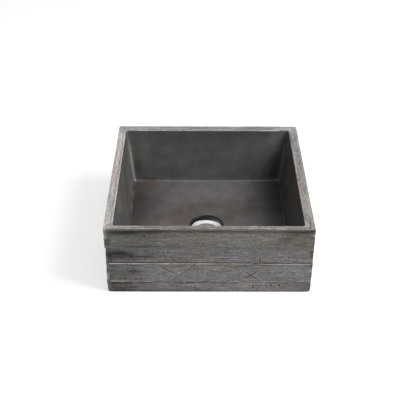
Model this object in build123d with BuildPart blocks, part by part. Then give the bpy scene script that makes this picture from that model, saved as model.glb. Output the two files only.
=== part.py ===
from build123d import *
import os
from math import cos, pi, radians, sin, sqrt, tan

# A square countertop washbasin, cast in dark concrete against rough-sawn boards, with a
# push-open waste in its floor. Sizes are in millimetres. The origin is the centre of the flat
# underside, +X is to the right, +Y is to the back and +Z is up. The plug is shown closed.

# The casting outside
width = 400.0
depth = 400.0
height = 150.0
corner_ease = 1.5
top_ease = 1.0
foot_ease = 1.5

# The boards of the shuttering, from the bottom up: how wide each one is, and how far its
# face stands back from the full size. The top board takes what is left of the height.
board_widths = (25.0, 43.5, 39.0)
board_setbacks = (0.6, 0.3, 1.2, 0.0)

# The fins of mortar that ran between two boards
fin_height = 1.2
fin_setback = 0.0

# The bowl
left_wall = 16.8
right_wall = 19.5
front_wall = 14.5
back_wall = 20.5
wall_draft = 6.5
bowl_corner_radius = 5.0
rim_radius = 1.5
cove_radius = 4.0

# The floor, which falls to the drain on all sides
drain_x = -3.5
drain_y = -3.0
floor_at_drain = 20.0
floor_fall = 1.7

# The stepped drain hole
recess_radius = 36.0
recess_ease = 0.8
ledge_height = 5.0
bore_radius = 27.5

# The waste body: a dished flange, a pan for the plug, and a threaded tail
flange_radius = 35.0
flange_rise = 5.0
flange_thickness = 1.4
dish_depth = 3.4
pan_radius = 25.5
pan_depth = 2.8
pan_wall = 1.3
lip_ease = 0.6
tail_radius = 20.955
tail_bore_radius = 19.0
tail_length = 52.0
tail_chamfer = 0.8
groove_width = 2.0
groove_depth = 0.8

# The bridge across the tail, which carries the plug's cartridge
bridge_drop = 26.0
bridge_thickness = 4.0
bridge_spokes = 3
spoke_width = 3.2
boss_radius = 6.0
spigot_radius = 3.0

# Seals, washer and backnut. The nut clamps a worktop between its seal and the basin.
worktop_thickness = 20.0
seal_clearance = 0.3
contact_gap = 0.05
thread_gap = 0.1
lower_seal_radius = 34.0
lower_seal_thickness = 3.0
slip_washer_radius = 33.0
slip_washer_thickness = 1.5
nut_flats = 56.0
nut_height = 9.0
nut_corner_cut = 1.6

# The push cartridge
housing_radius = 8.0
housing_flats = 14.0
housing_floor = 2.5
housing_bore_radius = 6.3
cartridge_cap_thickness = 2.5
stem_radius = 4.0
stem_clearance = 0.3
collar_clearance = 0.3
collar_thickness = 3.0
guide_radius = 3.2
guide_length = 5.0
plug_travel = 8.0
travel_spare = 0.3
cartridge_gap = 0.9
spring_wire = 0.9
spring_turns = 6
wire_sides = 8
spring_clearance = 0.35

# The plug
plug_clearance = 0.4
plug_thickness = 1.7
plug_ease = 0.5
plug_stand = 0.4
plug_boss_radius = 5.0
plug_boss_length = 4.0
plug_stud_radius = 2.9
plug_stud_length = 3.0
skirt_wall = 1.6
skirt_depth = 2.2
skirt_clearance = 0.4
plug_seal_inset = 0.6
seat_gap = 0.1

# Heights worked out from the sizes above
board_joints = [sum(board_widths[: count + 1]) for count in range(len(board_widths))]
lip_height = ledge_height + flange_rise
pan_rim = lip_height - dish_depth
pan_floor = pan_rim - pan_depth
dish_slope = dish_depth / (flange_radius - pan_radius)
bridge_top = -bridge_drop
plug_top = pan_rim + plug_stand
plug_underside = plug_top - plug_thickness
plug_boss_bottom = plug_underside - plug_boss_length
cartridge_top = plug_boss_bottom - cartridge_gap
cartridge_lip = cartridge_top - cartridge_cap_thickness
collar_top = cartridge_lip - plug_travel - travel_spare
collar_bottom = collar_top - collar_thickness
spring_bottom = bridge_top + housing_floor
lower_seal_bottom = -worktop_thickness - lower_seal_thickness
nut_top = lower_seal_bottom - slip_washer_thickness
nut_bottom = nut_top - nut_height
groove_top = nut_bottom - groove_width / 2
groove_bottom = groove_top - groove_width
drain = (drain_x, drain_y)


def underside_of_dish(radius):
    """Height of the flange's conical underside at a distance from the drain's axis."""
    return lip_height - flange_thickness - (flange_radius - radius) * dish_slope


def ring_about_drain(inner, outer, bottom, top):
    """Flat ring round the drain's axis, for washers and seals."""
    with BuildPart() as ring:
        with BuildSketch(Plane.XY.offset(bottom)):
            with Locations(drain):
                Circle(outer)
                Circle(inner, mode=Mode.SUBTRACT)
        extrude(amount=top - bottom)
    return ring


def profile_plane():
    """Upright plane through the drain's axis, whose x is the radius and y the height."""
    return Plane((drain_x, drain_y, 0), x_dir=(1, 0, 0), z_dir=(0, -1, 0))


drain_axis = Axis((drain_x, drain_y, 0), (0, 0, 1))

# The space inside the bowl, down to the sloping floor
bowl_x = (left_wall - right_wall) / 2
bowl_y = (front_wall - back_wall) / 2
mouth_width = width - left_wall - right_wall
mouth_depth = depth - front_wall - back_wall
floor_reach = mouth_width + mouth_depth
with BuildPart() as bowl_space:
    with BuildSketch(Plane((bowl_x, bowl_y, height), x_dir=(1, 0, 0), z_dir=(0, 0, -1))):
        Rectangle(mouth_width, mouth_depth)
    extrude(amount=height - floor_at_drain, taper=wall_draft)
    upright = bowl_space.edges().filter_by(lambda edge: abs(edge.tangent_at(0).Z) > 0.5)
    fillet(upright, bowl_corner_radius)
    with BuildSketch(profile_plane()):
        with BuildLine():
            Polyline(
                (0, floor_at_drain),
                (floor_reach, floor_at_drain + floor_reach * tan(radians(floor_fall))),
                (floor_reach, 0),
                (0, 0),
                close=True,
            )
        make_face()
    revolve(axis=drain_axis, mode=Mode.SUBTRACT)
    around_floor = bowl_space.faces().sort_by(Axis.Z)[0].outer_wire().edges()
    fillet(around_floor, cove_radius)

# The cast basin: one course for each board, fins at the joints, then the bowl and the drain
with BuildPart() as basin_body:
    course_bottoms = [0.0] + board_joints
    course_tops = board_joints + [height]
    for bottom, top, setback in zip(course_bottoms, course_tops, board_setbacks):
        with BuildSketch(Plane.XY.offset(bottom)):
            RectangleRounded(width - 2 * setback, depth - 2 * setback, corner_ease)
        extrude(amount=top - bottom)
    for joint in board_joints:
        with BuildSketch(Plane.XY.offset(joint - fin_height / 2)):
            RectangleRounded(width - 2 * fin_setback, depth - 2 * fin_setback, corner_ease)
        extrude(amount=fin_height)
    chamfer(basin_body.faces().sort_by(Axis.Z)[0].outer_wire().edges(), foot_ease)
    chamfer(basin_body.faces().sort_by(Axis.Z)[-1].outer_wire().edges(), top_ease)
    add(bowl_space.part, mode=Mode.SUBTRACT)
    fillet(basin_body.faces().sort_by(Axis.Z)[-1].inner_wires()[0].edges(), rim_radius)
    with BuildSketch(Plane.XY.offset(ledge_height)):
        with Locations(drain):
            Circle(recess_radius)
    extrude(amount=height, mode=Mode.SUBTRACT)
    with BuildSketch():
        with Locations(drain):
            Circle(bore_radius)
    extrude(amount=height, mode=Mode.SUBTRACT)
    mouth_of_recess = (
        basin_body.edges()
        .filter_by(GeomType.CIRCLE)
        .filter_by(lambda edge: abs(edge.radius - recess_radius) < 0.01)
        .sort_by(Axis.Z)[-1]
    )
    chamfer(mouth_of_recess, recess_ease)
basin_body.part.label = "basin_body"

# The waste body, turned in one piece, with the bridge across its tail. The groove in the tail
# parts the thread of the backnut from the thread that the trap screws on.
with BuildPart() as waste_body:
    with BuildSketch(profile_plane()) as waste_profile:
        with BuildLine():
            Polyline(
                (tail_bore_radius, -tail_length),
                (tail_bore_radius, pan_floor),
                (pan_radius, pan_floor),
                (pan_radius, pan_rim),
                (flange_radius, lip_height),
                (flange_radius, lip_height - flange_thickness),
                (pan_radius + pan_wall, underside_of_dish(pan_radius + pan_wall)),
                (pan_radius + pan_wall, pan_floor - flange_thickness),
                (tail_radius, pan_floor - flange_thickness),
                (tail_radius, groove_top),
                (tail_radius - groove_depth, groove_top),
                (tail_radius - groove_depth, groove_bottom),
                (tail_radius, groove_bottom),
                (tail_radius, -tail_length),
                close=True,
            )
        make_face()
        lip_corners = waste_profile.vertices().group_by(Axis.X)[-1]
        chamfer(lip_corners, lip_ease)
        foot_corner = waste_profile.vertices().group_by(Axis.Y)[0].sort_by(Axis.X)[-1]
        chamfer(foot_corner, tail_chamfer)
    revolve(axis=drain_axis)
    with BuildSketch(Plane.XY.offset(bridge_top - bridge_thickness)):
        with Locations(drain):
            Circle(boss_radius)
            with PolarLocations(0, bridge_spokes):
                spoke_reach = (tail_bore_radius + tail_radius) / 2
                Rectangle(spoke_reach, spoke_width, align=(Align.MIN, Align.CENTER))
    extrude(amount=bridge_thickness)
    with BuildSketch(Plane.XY.offset(bridge_top - bridge_thickness)):
        with Locations(drain):
            Circle(spigot_radius + thread_gap)
    extrude(amount=bridge_thickness, mode=Mode.SUBTRACT)
waste_body.part.label = "waste_body"

# The soft tapered seal between the ledge and the flange
flange_seal_inner = bore_radius + seal_clearance
flange_seal_outer = flange_radius - lip_ease
with BuildPart() as flange_seal:
    with BuildSketch(profile_plane()):
        with BuildLine():
            Polyline(
                (flange_seal_inner, ledge_height),
                (flange_seal_outer, ledge_height),
                (flange_seal_outer, underside_of_dish(flange_seal_outer) - contact_gap),
                (flange_seal_inner, underside_of_dish(flange_seal_inner) - contact_gap),
                close=True,
            )
        make_face()
    revolve(axis=drain_axis)
flange_seal.part.label = "flange_seal"

# Under the worktop: a thick rubber seal, a slip washer and the backnut
loose_on_tail = tail_radius + thread_gap
lower_seal = ring_about_drain(
    loose_on_tail, lower_seal_radius, lower_seal_bottom, -worktop_thickness
)
lower_seal.part.label = "lower_seal"
slip_washer = ring_about_drain(loose_on_tail, slip_washer_radius, nut_top, lower_seal_bottom)
slip_washer.part.label = "slip_washer"

with BuildPart() as backnut:
    with BuildSketch(Plane.XY.offset(nut_bottom)):
        with Locations(drain):
            RegularPolygon(nut_flats / 2, 6, major_radius=False)
            Circle(loose_on_tail, mode=Mode.SUBTRACT)
    extrude(amount=nut_height)
    nut_corner = nut_flats / 2 / cos(pi / 6)
    with BuildSketch(profile_plane()):
        with BuildLine():
            Polyline(
                (0, nut_bottom),
                (nut_corner - nut_corner_cut, nut_bottom),
                (nut_corner, nut_bottom + nut_corner_cut * tan(pi / 6)),
                (nut_corner, nut_top),
                (0, nut_top),
                close=True,
            )
        make_face()
    revolve(axis=drain_axis, mode=Mode.INTERSECT)
backnut.part.label = "backnut"

# The cartridge's housing, with two flats for a spanner and a spigot into the bridge
with BuildPart() as cartridge_housing:
    with BuildSketch(Plane.XY.offset(bridge_top)):
        with Locations(drain):
            Circle(housing_radius)
            Rectangle(2 * housing_radius, housing_flats, mode=Mode.INTERSECT)
    extrude(amount=cartridge_lip - bridge_top)
    with BuildSketch(Plane.XY.offset(spring_bottom)):
        with Locations(drain):
            Circle(housing_bore_radius)
    extrude(amount=cartridge_lip - spring_bottom, mode=Mode.SUBTRACT)
    with BuildSketch(Plane.XY.offset(bridge_top - bridge_thickness)):
        with Locations(drain):
            Circle(spigot_radius)
    extrude(amount=bridge_thickness)
cartridge_housing.part.label = "cartridge_housing"

# The ring that closes the housing and guides the stem
cartridge_cap = ring_about_drain(
    stem_radius + stem_clearance, housing_radius, cartridge_lip, cartridge_top
)
cartridge_cap.part.label = "cartridge_cap"

# The plunger: stem, collar under the cap ring, a guide for the spring and the plug's stud
with BuildPart() as plunger:
    with BuildSketch(profile_plane()):
        with BuildLine():
            Polyline(
                (0, collar_bottom - guide_length),
                (guide_radius, collar_bottom - guide_length),
                (guide_radius, collar_bottom),
                (housing_bore_radius - collar_clearance, collar_bottom),
                (housing_bore_radius - collar_clearance, collar_top),
                (stem_radius, collar_top),
                (stem_radius, plug_boss_bottom),
                (plug_stud_radius, plug_boss_bottom),
                (plug_stud_radius, plug_boss_bottom + plug_stud_length),
                (0, plug_boss_bottom + plug_stud_length),
                close=True,
            )
        make_face()
    revolve(axis=drain_axis)
plunger.part.label = "plunger"

# The spring that lifts the plug: a helix of half turns, each drawn by two arcs that share
# a tangent. It stands between the housing's floor and the plunger's collar.
coil_radius = housing_bore_radius - spring_clearance - spring_wire / 2
coil_foot = spring_bottom + contact_gap + spring_wire / 2
coil_rise = collar_bottom - spring_bottom - 2 * contact_gap - spring_wire
half_turns = 2 * spring_turns


def coil_point(step):
    """Point of the spring's centre line after a number of half turns."""
    angle = pi * step
    return Vector(
        drain_x + coil_radius * cos(angle),
        drain_y + coil_radius * sin(angle),
        coil_foot + coil_rise * step / half_turns,
    )


def coil_tangent(step):
    """Direction of the spring's centre line after a number of half turns."""
    angle = pi * step
    climb = coil_rise / half_turns
    run = Vector(-pi * coil_radius * sin(angle), pi * coil_radius * cos(angle), climb)
    return run.normalized()


def coil_arcs(step):
    """Two arcs that follow one half turn and share a tangent where they meet."""
    start, end = coil_point(step), coil_point(step + 1)
    leaving, arriving = coil_tangent(step), coil_tangent(step + 1)
    chord = end - start
    both = leaving + arriving
    turn = 2 * (1 - leaving.dot(arriving))
    reach = (sqrt(chord.dot(both) ** 2 + turn * chord.dot(chord)) - chord.dot(both)) / turn
    before, after = start + leaving * reach, end - arriving * reach
    middle = (before + after) * 0.5
    return (
        Edge.make_tangent_arc(start, leaving, middle),
        Edge.make_tangent_arc(middle, (after - before).normalized(), end),
    )


coil_edges = [edge for step in range(half_turns) for edge in coil_arcs(step)]
coil_path = Wire(coil_edges)
with BuildPart() as spring:
    with BuildSketch(Plane(coil_point(0), z_dir=coil_tangent(0))):
        RegularPolygon(spring_wire / 2, wire_sides)
    sweep(path=coil_path)
spring.part.label = "spring"
print("gap between the spring's turns:", round(coil_rise / spring_turns - spring_wire, 2))

# The plug: a polished cap with a skirt that locates its seal and a boss for the stud
plug_radius = pan_radius - plug_clearance
skirt_radius = tail_bore_radius - skirt_clearance
with BuildPart() as plug_cap:
    with BuildSketch(profile_plane()) as plug_profile:
        with BuildLine():
            Polyline(
                (0, plug_boss_bottom + plug_stud_length + thread_gap),
                (plug_stud_radius + thread_gap, plug_boss_bottom + plug_stud_length + thread_gap),
                (plug_stud_radius + thread_gap, plug_boss_bottom),
                (plug_boss_radius, plug_boss_bottom),
                (plug_boss_radius, plug_underside),
                (skirt_radius - skirt_wall, plug_underside),
                (skirt_radius - skirt_wall, plug_underside - skirt_depth),
                (skirt_radius, plug_underside - skirt_depth),
                (skirt_radius, plug_underside),
                (plug_radius, plug_underside),
                (plug_radius, plug_top),
                (0, plug_top),
                close=True,
            )
        make_face()
        edge_of_cap = plug_profile.vertices().group_by(Axis.X)[-1].sort_by(Axis.Y)[-1]
        chamfer(edge_of_cap, plug_ease)
    revolve(axis=drain_axis)
plug_cap.part.label = "plug_cap"

# The flat rubber ring under the cap, which closes on the floor of the pan
plug_seal = ring_about_drain(
    skirt_radius + thread_gap,
    plug_radius - plug_seal_inset,
    pan_floor + seat_gap,
    plug_underside,
)
plug_seal.part.label = "plug_seal"

pieces = (
    basin_body,
    waste_body,
    flange_seal,
    lower_seal,
    slip_washer,
    backnut,
    cartridge_housing,
    cartridge_cap,
    plunger,
    spring,
    plug_cap,
    plug_seal,
)
os.makedirs("parts", exist_ok=True)
for piece in pieces:
    export_step(piece.part, f"parts/{piece.part.label}.step")
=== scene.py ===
from math import cos, pi, radians, sin, tan

import bpy
import numpy as np
from mathutils import Matrix, Vector


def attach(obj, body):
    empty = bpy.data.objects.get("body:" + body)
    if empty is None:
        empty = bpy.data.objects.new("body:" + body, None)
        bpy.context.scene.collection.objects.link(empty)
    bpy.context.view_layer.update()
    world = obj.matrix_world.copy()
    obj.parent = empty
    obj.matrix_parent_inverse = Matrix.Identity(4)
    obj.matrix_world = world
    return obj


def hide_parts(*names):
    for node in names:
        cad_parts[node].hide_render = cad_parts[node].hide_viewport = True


# A square washbasin cast in dark concrete against rough boards, with a push-open waste in its
# floor. Lengths are in millimetres and turn to metres where a mesh or a shader needs them. The
# origin is the centre of the underside, +X is to the right, +Y is to the back and +Z is up.

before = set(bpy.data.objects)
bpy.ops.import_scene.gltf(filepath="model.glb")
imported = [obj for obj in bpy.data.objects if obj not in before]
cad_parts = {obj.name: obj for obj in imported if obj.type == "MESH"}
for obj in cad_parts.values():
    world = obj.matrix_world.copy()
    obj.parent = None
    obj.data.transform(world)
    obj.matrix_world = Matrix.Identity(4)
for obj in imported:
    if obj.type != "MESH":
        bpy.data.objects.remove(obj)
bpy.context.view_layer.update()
MM = 0.001

# The casting, with the sizes of its solid
HALF = 200.0
HEIGHT = 150.0
CORNER_EASE = 1.5
TOP_EASE = 0.5
FOOT_EASE = 0.6
JOINTS = (25.0, 68.5, 107.5)
MOUTH_HALF_X = 181.85
MOUTH_HALF_Y = 182.5
BOWL_X = -1.35
BOWL_Y = -3.0
WALL_SLOPE = tan(radians(6.5))
BOWL_CORNER = 5.0
RIM_TANGENT = 1.4
COVE_TANGENT = 3.57
ARC_WEIGHT = 0.725
DRAIN = (-3.5, -3.0)
FLOOR_AT_DRAIN = 20.0
FLOOR_SLOPE = tan(radians(1.7))
RECESS_RADIUS = 36.0
RECESS_EASE = 0.8
LEDGE_HEIGHT = 5.0
BORE_RADIUS = 27.5

# How closely the casting's mesh is divided
FRONT_COLUMNS = 303
OTHER_COLUMNS = 123
CORNER_STEPS = 6
BOARD_STEP = 2.3
JOINT_ROWS = (0.35, 0.8, 1.25, 1.75, 2.4, 3.2, 4.2)
ARRIS_ROWS = (1.3, 2.9, 3.9)
FLOOR_ROWS = 20
WALL_ROWS = 16
ARC_ROWS = 6

# How far the boards' faces stand back: a row for the front, right, back and left, each of them
# from the lowest board up
SETBACKS = np.array((
    (0.0, 0.0, 0.8, 0.2),
    (0.0, 0.0, 0.0, 0.0),
    (0.5, 0.3, 1.2, 0.2),
    (0.6, 0.7, 1.8, 0.1),
))

# The relief that the boards left, all of it cut inward from the full size
BOARD_BOW = 0.12
GRAIN_DEPTH = 0.14
KNOCK_DEPTH = 0.6
CORNER_WEAR = np.array((0.6, 0.1, 0.6, 0.6))
FOOT_CHIP = 0.6
JOINT_WAVE = 0.6
FIN_SINK = 0.15
CUT_LIP = 0.12
RIM_RUB = 0.15

# How far wear, dirt and nicks reach from the upright corners, and chips and the painted contact shadow
# from the foot
WEAR_REACH = 5.0
DIRT_REACH = 2.5
NICK_REACH = 4.5
FOOT_REACH = 1.8

# Each joint between boards: height, fin's offset from it, fin's half height, groove above and below
JOINT_GROOVES = (
    (25.0, 1.7, 1.2, 0.3, 1.9),
    (68.5, -0.2, 1.4, 2.4, 1.3),
    (107.5, 0.0, 0.7, 0.2, 0.8),
)

# The middle joint runs higher on the front's left half
JOINT_CLIMB = 1.4

# Where the fins still stand on the front: joint, then start, end and how much is left
FRONT_FINS = (
    (68.5, -197, -73, 1),
    (68.5, -73, 18, 0.8),
    (68.5, 12, 56, 1),
    (68.5, 50, 80, 0.5),
    (68.5, 92, 199, 0.62),
    (25, -194, -145, 1),
    (25, -145, -105, 0.85),
    (25, -105, 38, 0.65),
    (25, -14, 14, 0.85),
    (25, 38, 64, 0.45),
    (25, 64, 100, 0.6),
    (25, 100, 116, 0.8),
    (25, 116, 136, 0.5),
    (25, 136, 158, 0.25),
    (25, 158, 199, 0.85),
    (107.5, 22, 34, 0.7),
)

# Deeper stretches of the lowest joint on the front, where the fin has come away: start, end, depth
FRONT_GAPS = ((-46.5, -28.8, 1.4), (-21, -9, 0.9), (2.7, 14.5, 0.8), (26.3, 38, 0.5))

# Saw cuts, slots and knocks on the front: both ends, half width and depth
FRONT_MARKS = (
    (-93, 61.5, -64, 45, 1, 1.2),
    (-64, 45, -48, 35, 0.9, 0.5),
    (-27, 66, -72, 29, 1, 1),
    (64, 54, 98, 29, 0.8, 0.6),
    (72, 48, 90, 35, 1.1, 1.2),
    (112, 65.5, 62, 27, 0.8, 0.6),
    (94, 51, 70, 34.5, 1.1, 1.2),
    (114, 66, 132, 67, 0.8, 0.5),
    (92.6, 75, 92.2, 86, 0.7, 0.6),
    (92.5, 88, 103, 88.5, 0.7, 0.6),
    (96.5, 72, 97, 83, 1, 1.5),
    (103.5, 70.5, 102.5, 78, 0.7, 0.8),
    (25.9, 24, 26.3, 9, 0.8, 1),
    (17, 98.5, 17.4, 106, 0.6, 0.6),
    (21, 98, 20.8, 106, 0.6, 0.6),
    (25, 98.5, 25.2, 106, 0.6, 0.6),
    (151.4, 84.8, 153, 84.3, 1.5, 1.4),
    (137.1, 20, 137.3, 14.5, 1.3, 1.3),
    (121.3, 20, 120.5, 15, 1.3, 1.2),
    (85.8, 18, 86.2, 10, 1.2, 1.1),
    (110, 19, 112, 18, 1.2, 0.9),
    (-196, 20.8, -174, 20.6, 1.7, 1.4),
    (-174, 20.6, -150, 21.2, 1.5, 1.2),
    (-184, 87.5, -156, 88, 0.8, 0.7),
    (-142.6, 87, -100.2, 85, 0.8, 0.8),
)

# Nicks in the upright corners: corner counted from the front left, height, half height, depth
CORNER_NICKS = (
    (1, 0, 3.5, 1.8),
    (1, 109, 1.5, 0.5),
    (1, 104, 3, -1.2),
    (1, 66, 6, -0.8),
    (0, 0, 3.5, 1.8),
    (0, 118, 5, 1.2),
    (0, 101, 5, 1),
    (0, 60, 10, 1.8),
    (0, 12, 8, 0.8),
    (2, 40, 5, 1.6),
    (2, 118, 4, 1.4),
    (3, 22, 4, 1.5),
    (3, 90, 6, 1.2),
)


def linear(code):
    """Linear colour of an sRGB hex value."""
    channels = [int(code[place : place + 2], 16) / 255 for place in (1, 3, 5)]
    curve = [c / 12.92 if c <= 0.04045 else ((c + 0.055) / 1.055) ** 2.4 for c in channels]
    return (*curve, 1.0)


# Seeded noise for the relief
NOISE_CELLS = 64


def soft_noise(across, up, seed, around=NOISE_CELLS):
    """Smooth noise from -1 to 1 on unit cells, which meets itself after a whole turn."""
    table = np.random.default_rng(seed).uniform(-1, 1, (around, NOISE_CELLS))
    column, row = np.floor(across).astype(int), np.floor(up).astype(int)
    tx, ty = across - column, up - row
    tx, ty = tx * tx * (3 - 2 * tx), ty * ty * (3 - 2 * ty)
    left, right = column % around, (column + 1) % around
    low, high = row % NOISE_CELLS, (row + 1) % NOISE_CELLS
    below = table[left, low] * (1 - tx) + table[right, low] * tx
    above = table[left, high] * (1 - tx) + table[right, high] * tx
    return below * (1 - ty) + above * ty


def relief(round_the_side, up, length, rise, seed, octaves=3):
    """Noise round the casting, whose largest cells have the given length and rise."""
    total, weight = 0.0, 0.0
    for octave in range(octaves):
        cells = max(4, round(8 * HALF / length * 2**octave))
        across = round_the_side * cells / (8 * HALF)
        total = total + soft_noise(across, up / rise * 2**octave, seed + octave, cells) / 2**octave
        weight += 1 / 2**octave
    return total / weight


def smooth_step(low, high, value):
    """0 below low, 1 above high, and a soft change between them."""
    share = np.clip((value - low) / (high - low), 0, 1)
    return share * share * (3 - 2 * share)


def bump_at(value, centre, half_width):
    """1 at the centre, falling to nothing about two half widths away."""
    return np.exp(-(((value - centre) / half_width) ** 2))


# The columns of the casting's mesh run round it anticlockwise from the front's left end. Each
# has its side, its place along the side, and its turn where it is on a corner.
reach = HALF - CORNER_EASE
columns = []
for side_number in range(4):
    count = OTHER_COLUMNS if side_number else FRONT_COLUMNS
    columns += [(side_number, place, 0.0) for place in np.linspace(-reach, reach, count)]
    turns = [pi / 2 * step / CORNER_STEPS for step in range(1, CORNER_STEPS)]
    columns += [(side_number, reach, turn) for turn in turns]
side, place, turn = np.array(columns).T
side = side.astype(int)
facing = pi / 2 * (side - 1)
outward = np.stack([np.cos(facing), np.sin(facing)], 1)
sideways = np.stack([-np.sin(facing), np.cos(facing)], 1)
round_place = side * 2 * HALF + HALF + place + turn / (pi / 2) * 2 * CORNER_EASE
corner_number = (np.round(round_place / (2 * HALF)) % 4).astype(int)
from_corner = reach - np.abs(place)
on_front = side == 0


def outline(half_x, half_y, radius, centre=(0.0, 0.0)):
    """Plan of a rounded rectangle, with one point for each column."""
    deep = np.where(side % 2 == 1, half_x, half_y)
    wide = np.where(side % 2 == 1, half_y, half_x)
    out = deep - radius + radius * np.cos(turn)
    along = (wide - radius) * place / reach + radius * np.sin(turn)
    return outward * out[:, None] + sideways * along[:, None] + np.array(centre)


def circle(radius, like):
    """Points of a circle about the drain, each in the direction of a point of a plan."""
    spokes = like - np.array(DRAIN)
    spokes = spokes / np.linalg.norm(spokes, axis=1)[:, None]
    return np.array(DRAIN) + radius * spokes


def at_height(plan, height):
    """A plan with a height, which is one number or one for each column."""
    return np.column_stack([plan, np.broadcast_to(height, len(plan))])


def floor_height(plan):
    """Height of the sloping floor under the points of a plan."""
    return FLOOR_AT_DRAIN + np.linalg.norm(plan - np.array(DRAIN), axis=1) * FLOOR_SLOPE


def wall_plan(height):
    """Plan of the bowl's wall at a height, one number or one for each column."""
    inset = (HEIGHT - height) * WALL_SLOPE
    return outline(MOUTH_HALF_X - inset, MOUTH_HALF_Y - inset, BOWL_CORNER, (BOWL_X, BOWL_Y))


def arc(start, corner, end, rows):
    """Rows of points on a round between two surfaces, whose corner is given."""
    made = []
    for share in np.linspace(0, 1, rows + 1):
        weights = ((1 - share) ** 2, 2 * ARC_WEIGHT * share * (1 - share), share**2)
        total = sum(weights)
        made.append((weights[0] * start + weights[1] * corner + weights[2] * end) / total)
    return made


def along_front(start, end, taper):
    """1 between two places on the front, with a soft rise and fall inside them, and 0 elsewhere."""
    inside = smooth_step(start, start + taper, place) * smooth_step(-end, -end + taper, -place)
    return np.where(on_front, inside, 0)


# How much of each fin is left round the casting. The front's own fins come from its table.
FIN_TAPER = 6.0
FRONT_FIN_REMAINS = 0.12
fin_left = {}
for joint in JOINTS:
    fin_left[joint] = smooth_step(-0.25, 0.35, relief(round_place, joint, 60, 1, 71, 3))
    fin_left[joint][on_front] *= FRONT_FIN_REMAINS
for joint, start, end, left in FRONT_FINS:
    fin_left[joint] = np.maximum(fin_left[joint], left * along_front(start, end, FIN_TAPER))
GAP_TAPER = 2.0
gap_left = np.zeros(len(place))
for start, end, gap_depth in FRONT_GAPS:
    gap_left = np.maximum(gap_left, gap_depth * along_front(start, end, GAP_TAPER))

# How much of the top arris has worn and broken away on the front, right, back and left, and how
# much that varies. More of it is gone at the front's left end.
ARRIS_LOSS = np.array((3.5, 0.9, 0.4, 0.9))
ARRIS_VARIES = np.array((3.0, 1.6, 0.8, 1.6))
LEAST_LOSS, MOST_LOSS = 0.3, 6.5
LEFT_END_LOSS, LEFT_END, LEFT_END_REACH = 1.5, 18.0, 26.0
arris_loss = ARRIS_LOSS[side] + ARRIS_VARIES[side] * relief(round_place, 0.5, 60, 1, 41, 5)
arris_loss = arris_loss + LEFT_END_LOSS * bump_at(round_place, LEFT_END, LEFT_END_REACH)
arris_loss = np.clip(arris_loss, LEAST_LOSS, MOST_LOSS)
# The broken arris is darkened with dirt and with painted shade in its hollow, most on the front
broken_dirt = np.where(on_front, 0.75, 0.2) * smooth_step(0.8, 1.8, arris_loss)

# The other sides get saw cuts and knocks of their own
marks = [(0, *mark) for mark in FRONT_MARKS]
chance = np.random.default_rng(17)
COURSE_BOTTOMS = (0.0, *JOINTS)
COURSE_TOPS = (*JOINTS, HEIGHT)
MARKS_ON_A_SIDE = 14
for side_number in (1, 2, 3):
    for number in range(MARKS_ON_A_SIDE):
        course = number % 4
        low, high = COURSE_BOTTOMS[course] + 4, COURSE_TOPS[course] - 4
        centre = chance.uniform(-170, 170)
        lean = chance.choice([-1.2, 0.02, 1.1, 0.1])
        span = chance.uniform(4, 24) if abs(lean) > 1 else chance.uniform(1, 8)
        ends = chance.uniform(low, high), chance.uniform(low, high)
        if abs(lean) < 1:
            ends = ends[0], min(ends[0] + span, high)
            span = span * lean
        depth = chance.uniform(0.7, 1.4)
        marks.append((side_number, centre, ends[0], centre + span, ends[1], 0.9, depth))


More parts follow.
